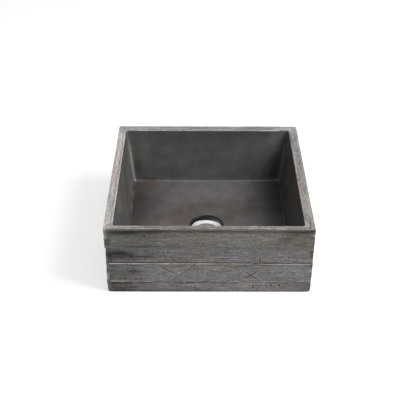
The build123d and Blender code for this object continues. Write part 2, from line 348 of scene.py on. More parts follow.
# Stains on the front: place, height, half width, half height, darkness and warmth
FRONT_STAINS = (
    (-174, 93, 20, 7, -0.9, -0.2),
    (-170, 90, 42, 17, -0.62, -0.2),
    (170, 138, 26, 7, -0.25, 0.8),
    (145, 126, 16, 8, -0.3, 0.7),
    (178, 116, 14, 5, -0.2, 0.7),
    (-192, 126, 6, 20, -0.6, 0.3),
    (-170, 87, 15, 1.6, -0.9, -0.8),
    (-121, 86, 21, 1.6, -1, -0.8),
    (195, 90, 4, 14, -0.5, 0.6),
    (-192, 78, 7, 10, -0.6, -0.3),
    (-160, 142, 50, 6, -0.7, 0.3),
    (-182, 128, 16, 8, 0.25, 0),
    (-128, 96, 14, 3, 0.15, 0.3),
    (-172, 46, 34, 18, -0.35, 0),
    (-132, 14, 12, 7, 0.3, 0),
    (72, 20, 16, 12, 0.25, 0),
    (161, 42, 14, 9, 0.15, 0),
    (-18, 60, 20, 10, 0.12, 0),
    (-110, 126, 36, 14, -0.18, 0),
    (-192, 40, 6, 9, -0.45, 0),
    (-188, 20, 10, 5, -0.3, 0),
    (168, 130, 20, 10, 0.15, 0),
    (-20, 104, 24, 14, 0.08, 0),
    (175, 45, 8, 8, 0.2, 0),
    (178, 62, 7, 8, 0.25, 0),
    (-60, 110, 30, 3, -0.2, 0),
    (-138, 86, 16, 5, -0.2, 0),
    (-8, 71, 14, 4, 0.25, 0),
    (-154, 28, 15, 2.2, 0.5, 0),
    (12, 128, 28, 5, 0.15, 0),
    (-5, 143, 20, 4, 0.3, 0),
    (152, 113, 26, 5, 0.2, 0),
    (57, 145, 18, 5, -0.15, 0),
    (-145, 89, 8, 8, -0.3, 0),
    (-90, 48, 10, 9, -0.35, 0),
    (30, 80, 28, 4, -0.25, 0),
    (82, 84, 22, 5, -0.25, 0),
    (112, 67, 20, 3, -0.4, 0),
    (165, 126, 36, 18, -0.25, 0.2),
    (193, 138, 9, 14, -0.3, 0.2),
    (190, 10, 22, 14, -0.7, 0),
    (-180, 10, 30, 12, -0.4, 0),
    (-112, 95, 24, 9, -0.4, 0),
    (-138, 49, 18, 9, -0.45, 0),
    (55, 100, 26, 6, 0.3, 0),
    (-140, 110.6, 44, 2.4, -0.6, 0),
    (-90, 111.2, 70, 2.4, -0.3, 0),
    (15, 71.6, 60, 2, 0.4, 0),
    (165, 71.6, 32, 2, 0.3, 0),
    (120, 69.8, 26, 1.5, -0.35, 0),
    (155, 102, 24, 4.5, 0.22, 0),
    (197, 101, 6, 6, -0.35, 0),
    (-25, 69.5, 52, 3.2, 0.55, 0),
    (-110, 73, 9, 4, 0.35, 0),
    (36, 50, 18, 14, 0.12, 0),
    (22, 29, 38, 3, 0.2, 0),
    (-193, 30, 7, 12, -0.4, 0),
    (-190, 64, 10, 5, -0.35, 0),
    (-148, 55, 12, 8, -0.3, 0),
    (117, 50, 6, 9, -0.25, 0),
    (-26, 46, 14, 8, -0.12, 0),
    (150, 12, 20, 10, -0.2, 0),
    (95, 72, 30, 14, -0.15, 0),
    (95, 60, 40, 5, -0.2, 0),
    (-100, 14, 14, 6, 0.15, 0),
    (-165, 58, 14, 7, 0.1, 0),
    (-150, 12, 50, 12, -0.3, 0.3),
    (-108, 52, 26, 9, 0.08, -0.7),
    (60, 88, 30, 7, 0.1, -0.8),
    (70, 50, 22, 6, 0.1, -0.7),
    (140, 55, 30, 10, 0.2, -0.5),
    (40, 70.5, 34, 2.2, 0, 0.8),
    (-55, 118, 22, 8, 0.1, 0.6),
    (120, 118, 26, 5, 0, 0.6),
)

# A brown band runs under the top edge
BAND_HEIGHT = 146.5
BAND_HALF_HEIGHT = 3.6
STAINS_ON_A_SIDE = 14

# The other sides are stained in the same way, in places of their own
tone_patches = [(0, *stain) for stain in FRONT_STAINS]
for side_number in (1, 2, 3):
    for number in range(STAINS_ON_A_SIDE):
        spread = chance.uniform(12, 45), chance.uniform(2, 14)
        middle = chance.uniform(-180, 180), chance.uniform(8, 140)
        shade = chance.uniform(-0.7, 0.4), chance.uniform(-0.7, 0.6)
        tone_patches.append((side_number, *middle, *spread, *shade))


def with_patches(tone, warmth, tone_patches, across, up):
    """Tone and warmth of a row with stains, and painted light and shade, laid on it, each on its side
    or, if None, on any.
    """
    for number, middle, level, half_width, half_height, darker, warmer in tone_patches:
        share = np.exp(-(((across - middle) / half_width) ** 2) - ((up - level) / half_height) ** 2)
        if number is not None:
            share = np.where(side == number, share, 0.0)
        tone, warmth = tone + darker * share, warmth + warmer * share
    return tone, warmth


def board_stain(height):
    """Tone and warmth of a row of the outside at a height."""
    tone = 0.4 * relief(round_place, height, 130, 26, 111, 4)
    warmth = 0.9 * relief(round_place, height, 90, 18, 121, 3)
    patchy = 0.75 + 0.6 * relief(round_place, height, 50, 9, 131, 2)
    under_edge = bump_at(height, BAND_HEIGHT, BAND_HALF_HEIGHT) * patchy
    tone = tone - 0.9 * under_edge
    warmth = warmth + 0.7 * under_edge
    # Painted contact shadow along the foot, all round and darker on the front's left half
    low_darkening = smooth_step(60.0, -60.0, np.where(on_front, place, 0.0))
    tone = tone - (0.4 + low_darkening) * np.exp(-height / FOOT_REACH)
    tone, warmth = with_patches(tone, warmth, tone_patches, place, height)
    return np.clip(tone, -1, 1), np.clip(warmth, -1, 1)


def cut_marks(height, depth, dirt, wear):
    """A row's depth, dirt and wear with the saw cuts and knocks, each darkened with dirt and painted
    shade and each with a low lip beside it.
    """
    for number, x0, z0, x1, z1, half_width, mark_depth in marks:
        run, rise = x1 - x0, z1 - z0
        length = run * run + rise * rise
        share = np.clip(((place - x0) * run + (height - z0) * rise) / length, 0, 1)
        away = np.hypot(place - x0 - share * run, height - z0 - share * rise)
        cut = np.where(side == number, bump_at(away, 0, 1.3 * half_width), 0)
        lip = np.where(side == number, bump_at(away, 2.6 * half_width, 0.9), 0)
        depth = depth + mark_depth * cut - CUT_LIP * lip
        # Dirt and painted shade along each cut, standing in for a groove narrower than the mesh
        dirt = dirt + min(1.2 * mark_depth, 1.3) * cut
        wear = np.maximum(wear, 0.16 * lip)
    return depth, dirt, wear


def wear_corners(height, depth, dirt, wear):
    """A row's depth, dirt and wear with the upright corners worn, grimy and nicked."""
    worn = soft_noise(corner_number * 13.7, np.full(len(place), height / 6.5), 61)
    worn = np.clip(worn, 0, 1) * np.exp(-from_corner / WEAR_REACH)
    depth = depth + CORNER_WEAR[corner_number] * worn
    wear = np.maximum(wear, 0.8 * worn)
    grimy = 0.5 + 0.8 * soft_noise(corner_number * 9.1 + 3, np.full(len(place), height / 9), 63)
    dirt = dirt + 0.8 * np.clip(grimy, 0, 1) * np.exp(-((from_corner / DIRT_REACH) ** 2))
    for number, level, half_height, nick_depth in CORNER_NICKS:
        nick = np.where(corner_number == number, bump_at(height, level, half_height), 0)
        nick = nick * np.exp(-from_corner / NICK_REACH)
        depth = depth + nick_depth * nick
        dirt = dirt + 0.7 * nick
    return depth, dirt, wear


def board_relief(height):
    """Depth, dirt with painted shade, and wear with painted highlight of a row of the outside at a
    height.
    """
    course = int(np.searchsorted(JOINTS, height))
    setback = SETBACKS[side, course]
    bow = BOARD_BOW * (1 + relief(round_place, course * 5.3 + 0.4, 300, 1, 11, 2))
    grain = relief(round_place, height + 40 * course, 80, 4.5, 21)
    knocks = np.clip(relief(round_place, height, 11, 7, 31, 2) - 0.5, 0, 1)
    depth = setback + bow + GRAIN_DEPTH * (1 + grain) + KNOCK_DEPTH * knocks
    dirt = 0.4 * knocks - 0.35 * grain
    wear = np.zeros(len(place))
    # Each joint's grooves are darkened with dirt and painted shade, and its fin is paled with wear and
    # painted highlight
    for joint, fin_offset, half_fin, above, below in JOINT_GROOVES:
        offset = height - joint - fin_offset
        ragged = 0.8 + 0.4 * relief(round_place, joint, 9, 1, 53, 2)
        thick = half_fin * (0.75 + 0.6 * relief(round_place, joint, 28, 1, 55, 3))
        thick = thick * (0.7 + 0.3 * fin_left[joint])
        upper = bump_at(offset, thick + 1.3, 1.1) * above * ragged * (0.55 + 0.45 * fin_left[joint])
        lower = bump_at(offset, -thick - 1.4, 1.3) * below * ragged * (0.4 + 0.6 * fin_left[joint])
        if joint == JOINTS[0]:
            lower = lower + bump_at(offset, -3.0, 1.5) * gap_left
        fin = np.exp(-((offset / thick) ** 4)) * fin_left[joint]
        depth = depth * (1 - fin) + fin * FIN_SINK * ragged + upper + lower
        dirt = dirt + 0.75 * (upper + lower)
        patchy = 0.72 + 0.8 * relief(round_place, joint, 16, 1, 57, 3)
        wear = np.maximum(wear, fin * np.clip(patchy, 0.15, 1))
    depth, dirt, wear = wear_corners(height, *cut_marks(height, depth, dirt, wear))
    foot_chips = np.clip(relief(round_place, 0.5, 17, 1, 45, 3), 0, 1)
    depth = depth + FOOT_CHIP * foot_chips * np.exp(-height / FOOT_REACH)
    dirt = dirt + broken_dirt * (HEIGHT - height < arris_loss)
    return np.maximum(depth, 0.0), np.clip(dirt, 0, 1), np.clip(wear, 0, 1)


def cut_inward(plan, depth, height):
    """A row of the outside with its relief cut inward, on both faces of each corner."""
    course = int(np.searchsorted(JOINTS, height))
    next_side = (side + np.sign(place).astype(int)) % 4
    beside = depth + SETBACKS[next_side, course] - SETBACKS[side, course]
    lean = np.sign(place) * (np.abs(place) / reach) ** 40 * np.maximum(beside, 0.0)
    return plan - outward * depth[:, None] - sideways * lean[:, None]


# The outside's heights: even steps up each board and close rows at the joints
board_rows = []
for bottom, top in zip((FOOT_EASE, *JOINTS), (*JOINTS, HEIGHT - TOP_EASE)):
    low = bottom + (JOINT_ROWS[-1] if bottom in JOINTS else 0)
    high = top - (JOINT_ROWS[-1] if top in JOINTS else 0)
    board_rows += list(np.linspace(low, high, round((high - low) / BOARD_STEP) + 1))
    if top in JOINTS:
        board_rows += [top - offset for offset in JOINT_ROWS[-2::-1]]
        board_rows += [top + offset for offset in JOINT_ROWS[:-1]]
board_rows += [HEIGHT - drop for drop in ARRIS_ROWS]
board_rows.sort(reverse=True)

full_plan = outline(HALF, HALF, CORNER_EASE)
mouth_plan = outline(MOUTH_HALF_X, MOUTH_HALF_Y, BOWL_CORNER, (BOWL_X, BOWL_Y))
top_depth, _, _ = board_relief(HEIGHT - TOP_EASE)


def rim_row(share):
    """A row of the rim, at a share of the way from its outer edge to the bowl's mouth."""
    from_edge = share * (HALF - MOUTH_HALF_X)
    lost = np.maximum(arris_loss - from_edge, 0) / 2
    edge = cut_inward(full_plan, top_depth + lost, HEIGHT)
    plan = edge * (1 - share) + mouth_plan * share
    rubbed = RIM_RUB * (1 + relief(round_place, share * 3, 70, 1, 47, 2))
    return at_height(plan, HEIGHT - rubbed * smooth_step(1.0, 0.7, share) - lost)


# How pale the outer edge of the rim was rubbed on the front, right, back and left
OUTER_WEAR = np.array((0.0, 0.08, 0.0, 0.28))


def rim_edge_look(share):
    """Dirt and painted shade on the broken part of the rim's outer edge, and fresh pale chips beside
    it.
    """
    from_edge = share * (HALF - MOUTH_HALF_X)
    beyond = from_edge - arris_loss
    chips = smooth_step(0.1, 0.6, relief(round_place, share * 2, 9, 1, 49, 2) + 0.3 * on_front - 0.15)
    rubbed_pale = OUTER_WEAR[side] * bump_at(from_edge, 1.5, 3.0)
    return {
        "dirt": broken_dirt * smooth_step(1.2, 0.2, beyond),
        "wear": np.maximum(rubbed_pale, 0.6 * chips * bump_at(beyond, 1.5, 1.0)),
    }


# What each row of the mesh tells the shaders. The finish is one of these numbers, and the top edge
# lies between the boards and the rim.
BOARDS, RIM, WALL, FLOOR, HOLE = range(5)
TOP_EDGE = 0.8
rows, row_finish, row_across = [], [], []
row_values = {"dirt": [], "wear": [], "tone": [], "warmth": []}


def add_row(points, finish, across=0.0, **values):
    """Keeps a row of the mesh with its finish, its place across the rim, and its dirt and wear, with
    painted shade and highlight among them.
    """
    rows.append(points)
    row_finish.append(finish)
    row_across.append(across)
    for name, kept in row_values.items():
        kept.append(np.zeros(len(place)) + values.get(name, 0.0))


# The rim's tone at places round it from the front's left end, paler on the left and darker on the
# right, and its warmth
RIM_LOOK = (
    (0, 0.4, 0.2), (15, 0.3, 0.2), (40, -0.2, 0.4), (110, -0.38, 0.4), (200, -0.48, 0.3),
    (380, -0.5, 0.1), (405, -0.3, 0.1), (414, -0.6, 0.1), (436, -0.5, 0.2), (455, -0.3, 0.3),
    (480, -0.3, 0.4), (600, -0.36, 0.5), (700, -0.45, -0.2), (780, -0.4, -0.4), (800, 0.25, -0.3),
    (832, 0.15, -0.3), (845, -0.3, -0.2), (905, -0.45, -0.3), (925, 0, -0.3), (970, 0.1, -0.4),
    (1005, -0.2, -0.4), (1030, 0.15, -0.4), (1190, 0.45, -0.4), (1205, 0.6, 0), (1240, 1.2, 0.5),
    (1320, 1.3, 0.8), (1400, 0.8, 0.5), (1500, 0.8, 0.4), (1577, 0.8, 0.3), (1585, 1.5, 0.3),
    (1594, 0.4, 0.2), (1600, 0.4, 0.2),
)
rim_places, rim_tone, rim_warmth = zip(*RIM_LOOK)
rim_tone = np.interp(round_place, rim_places, rim_tone)
rim_warmth = np.interp(round_place, rim_places, rim_warmth)
rim_warmth = rim_warmth + 0.3 * relief(round_place, 3.0, 50, 1, 65, 3)

# Rows of the outside, from the middle of the rim, over the edge and down to the underside
for share in (0.5, 0.36, 0.27, 0.20, 0.15, 0.11, 0.08, 0.055):
    add_row(rim_row(share), RIM, share, tone=rim_tone, warmth=rim_warmth, **rim_edge_look(share))
lost = arris_loss / 2
for inset, drop in ((TOP_EASE, 0.0), (0.3 * TOP_EASE, 0.3 * TOP_EASE)):
    plan = cut_inward(full_plan, top_depth + np.maximum(inset, lost), HEIGHT)
    edge_row = at_height(plan, HEIGHT - np.maximum(drop, lost))
    chips = 0.3 * (1 - broken_dirt)
    add_row(edge_row, TOP_EDGE, 0.02, dirt=broken_dirt, wear=chips, tone=rim_tone)
for height in board_rows:
    depth, dirt, wear = board_relief(height)
    tone, warmth = board_stain(height)
    wave = sum(
        JOINT_WAVE * relief(round_place, joint, 75, 1, 81, 3) * np.exp(-abs(height - joint) / 6)
        for joint in JOINTS
    )
    climb = np.where(on_front, JOINT_CLIMB * smooth_step(140.0, 20.0, place), 0.0)
    wave = wave + climb * np.exp(-(((height - JOINTS[1]) / 7) ** 2))
    lost = np.maximum(arris_loss - (HEIGHT - height), 0) / 2
    plan = cut_inward(full_plan, depth + lost, height)
    board_row = at_height(plan, height + wave - lost)
    add_row(board_row, BOARDS, dirt=dirt, wear=wear, tone=tone, warmth=warmth)
foot_depth, _, _ = board_relief(FOOT_EASE)
# The foot's eased edge is darkened as painted contact shadow
for inset, height in ((0.3 * FOOT_EASE, 0.3 * FOOT_EASE), (FOOT_EASE, 0.0)):
    add_row(at_height(cut_inward(full_plan, foot_depth + inset, height), height), BOARDS, dirt=0.6)
foot_plan = cut_inward(full_plan, foot_depth + FOOT_EASE, 0.0)
bore_plan = circle(BORE_RADIUS, full_plan)
for share in (0.03, 0.08):
    add_row(at_height(foot_plan * (1 - share) + bore_plan * share, 0.0), BOARDS)
outer_row_count = len(rows)

# Rows of the underside, the drain hole, the floor, the bowl's walls and the rim's inner half
for share in (0.18, 0.35, 0.55, 0.75, 0.9, 1.0):
    add_row(at_height(foot_plan * (1 - share) + bore_plan * share, 0.0), BOARDS)
corner_height = np.full(len(place), FLOOR_AT_DRAIN + 5)
for _ in range(4):
    corner_height = floor_height(wall_plan(corner_height))
corner_plan = wall_plan(corner_height)
wall_foot = corner_height + COVE_TANGENT
inward = outward * np.cos(turn)[:, None] + sideways * np.sin(turn)[:, None]
cove_edge = corner_plan - inward * COVE_TANGENT
hole_plan = circle(RECESS_RADIUS, cove_edge)
lip_plan = circle(RECESS_RADIUS + RECESS_EASE, cove_edge)
lip_height = FLOOR_AT_DRAIN + (RECESS_RADIUS + RECESS_EASE) * FLOOR_SLOPE
spokes = hole_plan - np.array(DRAIN)
spoke_turn = np.arctan2(spokes[:, 1], spokes[:, 0])
# Painted light from the bright waste ring on the hole's right side, and painted shade on the side that
# faces the lamp
painted_ring_light = bump_at(spoke_turn, 0.7, 0.45)
painted_shade_on_lit_side = bump_at(spoke_turn, 2.3, 0.7)
add_row(at_height(circle(BORE_RADIUS, cove_edge), LEDGE_HEIGHT / 2), HOLE, tone=-1)
for radius in np.linspace(BORE_RADIUS, RECESS_RADIUS, 4):
    add_row(at_height(circle(radius, cove_edge), LEDGE_HEIGHT), HOLE, tone=-1, wear=painted_ring_light)
# The hole's wall darkens toward the bottom
for height in (8.0, 11.0, 14.0, 17.0, lip_height - RECESS_EASE):
    low_darkening = smooth_step(14.0, 8.0, height)
    fading_ring_light = painted_ring_light * smooth_step(19.0, 10.0, height)
    add_row(at_height(hole_plan, height), HOLE, tone=-np.maximum(low_darkening, painted_shade_on_lit_side), wear=fading_ring_light)


# Stains on the bowl's walls, with painted light and shade among them: side, x or y, height, half
# width, half height, darkness and warmth
WALL_STAINS_AND_PAINTED_LIGHT = (
    # Painted light on the right wall's back end, which lies in shade
    (1, 150, 128, 30, 26, 0.45, 0),
    (1, 158, 75, 16, 50, 0.45, 0),
    (1, 166, 125, 14, 34, 0.6, 0),
    # Painted light in the right wall's shadow on the back's right end
    (2, 156, 119, 17, 21, 1.5, -0.2),
    (2, 138, 90, 15, 24, 0.5, 0),
    (2, 120, 45, 16, 22, 0.35, 0),
    # Painted shade low on the back's right end
    (2, 152, 50, 10, 24, -0.8, 0),
    (2, 60, 145, 55, 7, -0.35, 0.1),
    (2, 40, 128, 45, 10, -0.25, 0),
    (2, -72, 126, 38, 14, -0.25, 0),
    (2, -150, 80, 12, 16, 0.2, 0),
    (2, 86, 37, 12, 14, 0.25, 0),
    (2, 120, 146, 36, 7, -0.3, 0),
    (2, -60, 40, 30, 14, -0.12, 0),
    (2, 98, 74, 14, 9, 0.15, 0),
    (2, -105, 92, 26, 20, 0.2, 0),
    (2, -70, 72, 26, 18, 0.15, 0),
    (2, -145, 108, 16, 26, 0.6, 0),
    # Painted shade beside the back-left corner, then a painted highlight along it
    (2, -162, 62, 8, 40, -0.35, 0.7),
    (2, -173, 90, 5, 50, 0.8, 0),
    (2, -164, 116, 14, 18, 0.4, 0),
    (2, -150, 45, 10, 16, -0.25, 0),
    (3, 145, 90, 14, 46, 0.3, 0.1),
    # A painted highlight on the left wall's back end at the corner
    (3, 172, 85, 14, 46, 0.65, 0.3),
    (3, 68, 100, 40, 40, -0.45, 0),
    (3, 0, 152, 200, 12, -0.42, 0.1),
    (3, -52, 60, 80, 60, -0.32, -0.3),
)

# How strong the painted highlight is on the bowl's upright corners, from the front left anticlockwise
PAINTED_CORNER_HIGHLIGHT = np.array((0.2, 0.2, 0.9, 1.7))

# How strongly water has run down the left wall
LEFT_WALL_RUNS = 0.4

# Stains on the floor, with painted light and shade among them: x, y, half width, half depth, darkness,
# warmth
FLOOR_STAINS_AND_PAINTED_LIGHT = (
    (-165, 40, 50, 150, -0.95, 0.8),
    # Painted shade from the right wall on the floor's right side
    (180, 60, 62, 140, -1.2, -0.2),
    (0, 130, 85, 45, 0.4, -0.8),
    (95, 152, 40, 25, 0.4, -0.3),
    (60, -20, 50, 60, 0.07, -0.6),
    (-55, 20, 36, 45, 0, 0.9),
    (60, 25, 36, 40, 0, 0.8),
    (5, 60, 60, 34, -0.3, 0.5),
    (-8, 62, 24, 26, -0.15, 0),
    (-29, 134, 24, 16, -0.15, 0),
    (-53, 93, 26, 8, -0.12, 0),
    (-82, 132, 14, 12, 0.25, 0),
    (50, 50, 14, 20, 0.22, 0),
    (60, 158, 60, 8, 0.12, 0),
    (60, 22, 18, 22, 0.18, 0),
    (-62, 55, 22, 18, 0.15, 0),
    (-120, 25, 35, 25, 0.1, 0),
    (142, 25, 16, 25, 0.15, 0),
    (20, 50, 60, 14, 0.12, 0),
    # Painted shade in the back-right corner
    (162, 145, 16, 22, -0.2, 0),
    (-72, 118, 18, 14, 0.2, 0),
    (-115, -25, 50, 34, 0.2, 0),
    (110, -25, 70, 34, 0.2, 0),
    (100, 0, 30, 30, 0.25, -0.4),
    (-80, 0, 32, 25, 0.2, 0.3),
    (-150, -10, 40, 24, 0.3, 0),
    (-145, 168, 26, 10, 0, 0.8),
    # A painted highlight in the back-left corner
    (-158, 164, 10, 5, 0.84, 0),
)

# The palest tone inside the bowl
PALEST = 2

# How far the floor's and the walls' faces stray from true
FLOOR_WAVE = 0.35
FLOOR_RIPPLE = 0.1
WALL_SWELL = 0.3


def wall_stain(height):
    """Tone and warmth of a row of the bowl's wall, with its painted highlights and shade."""
    plan = wall_plan(height)
    across = np.where(side % 2 == 1, plan[:, 1], plan[:, 0])
    tone, warmth = with_patches(0.0, 0.0, WALL_STAINS_AND_PAINTED_LIGHT, across, height)
    runs = soft_noise(place / 13 + 20, np.full(len(place), height / 130), 141)
    # A painted highlight on the rounds of the upright corners, fading out toward the top
    corner_highlight = np.where(turn > 0, np.sin(2 * turn) * PAINTED_CORNER_HIGHLIGHT[corner_number], 0)
    corner_highlight = corner_highlight * smooth_step(145.0, 110.0, height)
    tone = np.clip(tone, -1, PALEST) + LEFT_WALL_RUNS * runs * (side == 3) + corner_highlight
    return {"tone": np.clip(tone, -1, PALEST), "warmth": np.clip(warmth, -1, 1)}


def trowelled(plan, height):
    """A row of the floor, whose flatness is that of a hand-finished mould."""
    away = np.linalg.norm(plan - np.array(DRAIN), axis=1)
    wave = soft_noise(plan[:, 0] / 55 + 20, plan[:, 1] / 55 + 20, 91)
    fine = soft_noise(plan[:, 0] / 17 + 30, plan[:, 1] / 17 + 30, 92)
    flat = smooth_step(RECESS_RADIUS, RECESS_RADIUS + 25, away)
    return at_height(plan, height + flat * (FLOOR_WAVE * wave + FLOOR_RIPPLE * fine))


# How much painted shade darkens the hole's lip, and the cove along the sides and at the back's left
# end
LIP_SHADE = 0.5
SIDE_COVE_SHADE = 0.65
BACK_COVE_SHADE = 0.6 * bump_at(place, 160.0, 22.0) * (side == 2)

floor_patches = [(None, *stain) for stain in FLOOR_STAINS_AND_PAINTED_LIGHT]
for share in (0.0, 0.006, *np.linspace(0, 1, FLOOR_ROWS + 1)[1:] ** 1.1):
    plan = lip_plan * (1 - share) + cove_edge * share
    tone, warmth = with_patches(0.0, 0.0, floor_patches, plan[:, 0], plan[:, 1])
    tone = np.clip(tone, -1, PALEST) - (LIP_SHADE if share == 0 else 0)
    add_row(trowelled(plan, floor_height(plan)), FLOOR, tone=tone, warmth=np.clip(warmth, -1, 1))
cove_end = at_height(wall_plan(wall_foot), wall_foot)
cove_look = wall_stain(COVE_TANGENT + FLOOR_AT_DRAIN)
cove_look["tone"] -= np.where(side % 2 == 1, SIDE_COVE_SHADE, BACK_COVE_SHADE)
for row in arc(rows[-1], at_height(corner_plan, corner_height), cove_end, ARC_ROWS)[1:]:
    add_row(row, WALL, **cove_look)
rim_foot = HEIGHT - RIM_TANGENT
for share in np.linspace(0, 1, WALL_ROWS + 1)[1:]:
    height = wall_foot * (1 - share) + rim_foot * share
    swell = WALL_SWELL * relief(round_place, height, 90, 45, 95, 2) * np.sin(pi * share)
    wall_row = at_height(wall_plan(height) + inward * swell[:, None], height)
    add_row(wall_row, WALL, **wall_stain(height))
rim_edge = mouth_plan + inward * RIM_TANGENT
rim_arc = arc(rows[-1], at_height(mouth_plan, HEIGHT), at_height(rim_edge, HEIGHT), ARC_ROWS)

# How pale the rim's inner edge was worn on the front, right, back and left, and how chipped. It is
# palest at the back's right end and at the front's left end, and dark in the back's corners.
INNER_WEAR = np.array((0.1, 0.1, 0.1, 0.12))
INNER_CHIPS = np.array((0.6, 0.2, 0.3, 0.05))
BACK_CORNER_SHADE = 0.8
BACK_CORNER_REACH = 14
chipped = smooth_step(0.25, 0.6, relief(round_place, 2.0, 14, 1, 59, 2))
pale_back = bump_at(place, -150, 20) * (side == 2) * (0.6 + chipped)
pale_front = 0.9 * bump_at(place, -172, 34) * on_front
inner_wear = np.maximum(INNER_WEAR[side] + chipped * INNER_CHIPS[side], pale_back)
inner_wear = np.maximum(inner_wear, pale_front)
inner_wear = np.where((corner_number >= 2) & (turn > 0), 0.0, inner_wear)
at_back_corner = (corner_number >= 2) & (from_corner < BACK_CORNER_REACH)
arc_tone = rim_tone - BACK_CORNER_SHADE * at_back_corner
for row in rim_arc[1:]:
    add_row(row, RIM, 0.9, wear=inner_wear, tone=arc_tone, warmth=rim_warmth)
inner_rim_row = rim_row(0.72) * 0.5 + at_height(rim_edge, HEIGHT) * 0.5
add_row(inner_rim_row, RIM, 0.8, tone=rim_tone, warmth=rim_warmth)

# The inner half of the mesh has every second column of the outer half
outer_count, inner_count = len(place), len(place) // 2


def by_point(values):
    """One list for the mesh's points, from arrays that have a value for each column of a row."""
    values = [np.asarray(row) if number < outer_row_count else np.asarray(row)[::2]
              for number, row in enumerate(values)]
    return np.concatenate(values)


points = by_point(rows)
inner_start = outer_row_count * outer_count


def band(first, second, count):
    """Faces between two rows that have the same number of points."""
    here = np.arange(count)
    after = (here + 1) % count
    return np.stack([first + here, second + here, second + after, first + after], 1).tolist()


def narrowing(wide, narrow, count, facing_out):
    """Five-sided faces between a row and one with half as many points."""
    here = np.arange(count)
    after = (here + 1) % count
    ring = [
        narrow + here,
        wide + 2 * here,
        wide + 2 * here + 1,
        wide + (2 * here + 2) % (2 * count),
        narrow + after,
    ]
    ring = ring if facing_out else ring[::-1]
    return np.stack(ring, 1).tolist()


faces = []
for number in range(outer_row_count - 1):
    first = number * outer_count
    faces += band(first, first + outer_count, outer_count)
inner_row_count = len(rows) - outer_row_count
for number in range(inner_row_count - 1):
    first = inner_start + number * inner_count
    faces += band(first, first + inner_count, inner_count)
last_outer = (outer_row_count - 1) * outer_count
last_inner = inner_start + (inner_row_count - 1) * inner_count
faces += narrowing(last_outer, inner_start, inner_count, False)
faces += narrowing(0, last_inner, inner_count, True)

casting_mesh = bpy.data.meshes.new("basin_casting")
casting_mesh.from_pydata((points * MM).tolist(), [], faces)
casting_mesh.validate()
casting_mesh.shade_smooth()
casting_mesh.set_sharp_from_angle(angle=radians(50))
casting = bpy.data.objects.new("basin_casting", casting_mesh)
bpy.context.scene.collection.objects.link(casting)


# The numbers that the shaders read from the mesh, one for each point
whole_row = np.ones(len(place))
row_values["finish"] = [finish * whole_row for finish in row_finish]
row_values["across"] = [share * whole_row for share in row_across]
row_values["around"] = [round_place * MM for _ in rows]
for name, values in row_values.items():
    kept = casting_mesh.attributes.new(name, "FLOAT", "POINT")
    kept.data.foreach_set("value", by_point(values).astype(np.float32))
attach(casting, "basin")
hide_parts("basin_body")


def fill(tree, node, inputs):
    """Fills a node's inputs with numbers, colours, outputs, or nodes for their first output."""
    for name, value in inputs.items():
        if isinstance(value, bpy.types.Node):
            value = value.outputs[0]
        if isinstance(value, bpy.types.NodeSocket):
            tree.links.new(value, node.inputs[name])
        else:
            node.inputs[name].default_value = value


def add_node(tree, kind, inputs=None, **settings):
    """Adds a shader node of a kind, sets it and fills its inputs."""
    node = tree.nodes.new("ShaderNode" + kind)
    for name, value in settings.items():
        setattr(node, name, value)
    fill(tree, node, inputs or {})
    return node


def new_material(name):
    """An empty material's tree and its shader."""
    material = bpy.data.materials.new(name)
    material.use_nodes = True
    return material, material.node_tree, material.node_tree.nodes["Principled BSDF"]


def layered(tree, where, layers):
    """Brightness about 1 from layers of noise: cell sizes in mm on three axes, detail and strength."""
    total = 1.0 - 2 * sum(strength for _, _, strength in layers)
    for sizes, detail, strength in layers:
        cells = [1 / (size * MM) for size in sizes]
        place_in_cells = add_node(tree, "VectorMath", {0: where, 1: cells}, operation="MULTIPLY")
        noise = add_node(tree, "TexNoise", {"Vector": place_in_cells, "Scale": 1.0, "Detail": detail})
        total = add_node(tree, "Math", {0: noise, 1: 4 * strength, 2: total}, operation="MULTIPLY_ADD")
    return total


def set_ramp(ramp, stops, interpolation="LINEAR"):
    """Sets a colour ramp from places and sRGB colours."""
    ramp.color_ramp.interpolation = interpolation
    elements = ramp.color_ramp.elements
    while len(elements) < len(stops):
        elements.new(1.0)
    for element, (position, code) in zip(elements, stops):
        element.position = position
        element.color = linear(code)


# Board-formed concrete: grey cement cast against rough-sawn softwood. It carries the boards'
# grain, a tint of its own from each board, bloom and stains, dirt and painted shade in the
# hollows, and pale wear on the fins and arrises with painted highlight on the fins. The rim was
# rubbed level and is paler. The bowl was cast against a smooth mould and sealed, so it is darker
# and has a soft gloss. Its painted highlights and shade come in through the tone.
concrete, tree, shader = new_material("board_formed_concrete")
spot = add_node(tree, "TexCoord").outputs["Object"]
spot_parts = add_node(tree, "SeparateXYZ", {0: spot})
from_mesh = {
    name: add_node(tree, "Attribute", attribute_name=name).outputs["Fac"]
    for name in row_values
}
finish = from_mesh["finish"]

# Each board's tint, from the lowest course up
course_place = add_node(tree, "Math", {0: spot_parts.outputs["Z"], 1: HEIGHT * MM}, operation="DIVIDE")
course_tint = add_node(tree, "ValToRGB", {"Fac": course_place})
set_ramp(course_tint, (
    (0.0, "#6b6766"),
    (JOINTS[0] / HEIGHT, "#696867"),
    (JOINTS[1] / HEIGHT, "#656363"),
    (JOINTS[2] / HEIGHT, "#64625c"),
), "CONSTANT")

# Rim, wall, floor and drain hole
finish_place = add_node(tree, "Math", {0: finish, 1: float(HOLE)}, operation="DIVIDE")
inside_tint = add_node(tree, "ValToRGB", {"Fac": finish_place})
set_ramp(inside_tint, (
    (RIM / HOLE, "#7b7978"),
    (WALL / HOLE, "#4d4d4b"),
    (FLOOR / HOLE, "#4e4a49"),
    (1.0, "#242322"),
))
board_share, rim_share = [
    add_node(tree, "Math", {0: beyond, 1: finish}, operation="SUBTRACT", use_clamp=True)
    for beyond in (1.0, 2.0)
]
tint = add_node(tree, "Mix", {
    0: board_share, 6: inside_tint.outputs["Color"], 7: course_tint.outputs["Color"],
}, data_type="RGBA")

